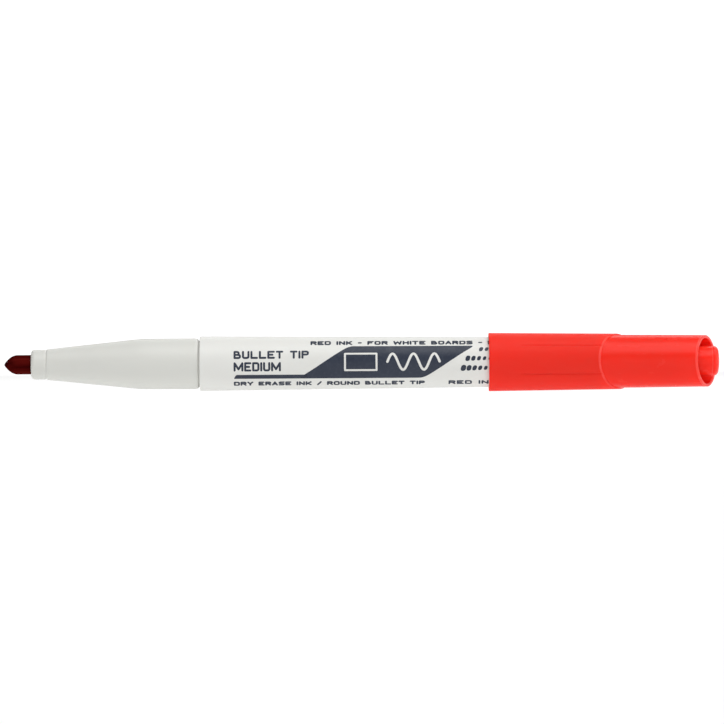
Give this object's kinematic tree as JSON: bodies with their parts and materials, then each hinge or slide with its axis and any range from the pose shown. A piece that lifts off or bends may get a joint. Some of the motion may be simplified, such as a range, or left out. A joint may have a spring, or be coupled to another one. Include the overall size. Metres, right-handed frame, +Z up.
{
  "type": "whiteboard marker",
  "caption": "Slim dry-wipe marker with a bullet nib, conical grip section, tapering white barrel and a red slant-ended cap posted on its rear.",
  "frame": {"origin": "middle of the posted length, straight below the pen's axis, on the surface that the marker lies on", "axes": "+X along the pen's axis from the nib to the closed end of the posted cap, +Z up"},
  "size_m": [0.1456, 0.0118, 0.0118],
  "materials": {
    "white_plastic": "smooth moulded white plastic, semi-gloss, with printed decoration",
    "grey_white_plastic": "satin moulded grey-white plastic",
    "red_plastic": "bright red moulded plastic, semi-gloss",
    "inked_fibre": "pressed fibre, soaked dark with red ink",
    "ink_soaked_fibre": "soft fibre rod full of red ink",
    "clear_film": "thin clear film",
    "strip_plastic": "plain plastic strip"
  },
  "bodies": {
    "pen": {"barrel": "white_plastic", "grip_section": "grey_white_plastic", "nib": "inked_fibre", "ink_reservoir": "ink_soaked_fibre", "reservoir_film": "clear_film", "breather_strip": "strip_plastic", "end_plug": "red_plastic"},
    "cap_assembly": {"cap": "red_plastic", "inner_cap": "red_plastic"}
  },
  "joints": [
    {"name": "cap_slide", "type": "slide", "parent": "pen", "child": "cap_assembly", "axis": [1, 0, 0], "range_m": [0, 0.026]}
  ]
}
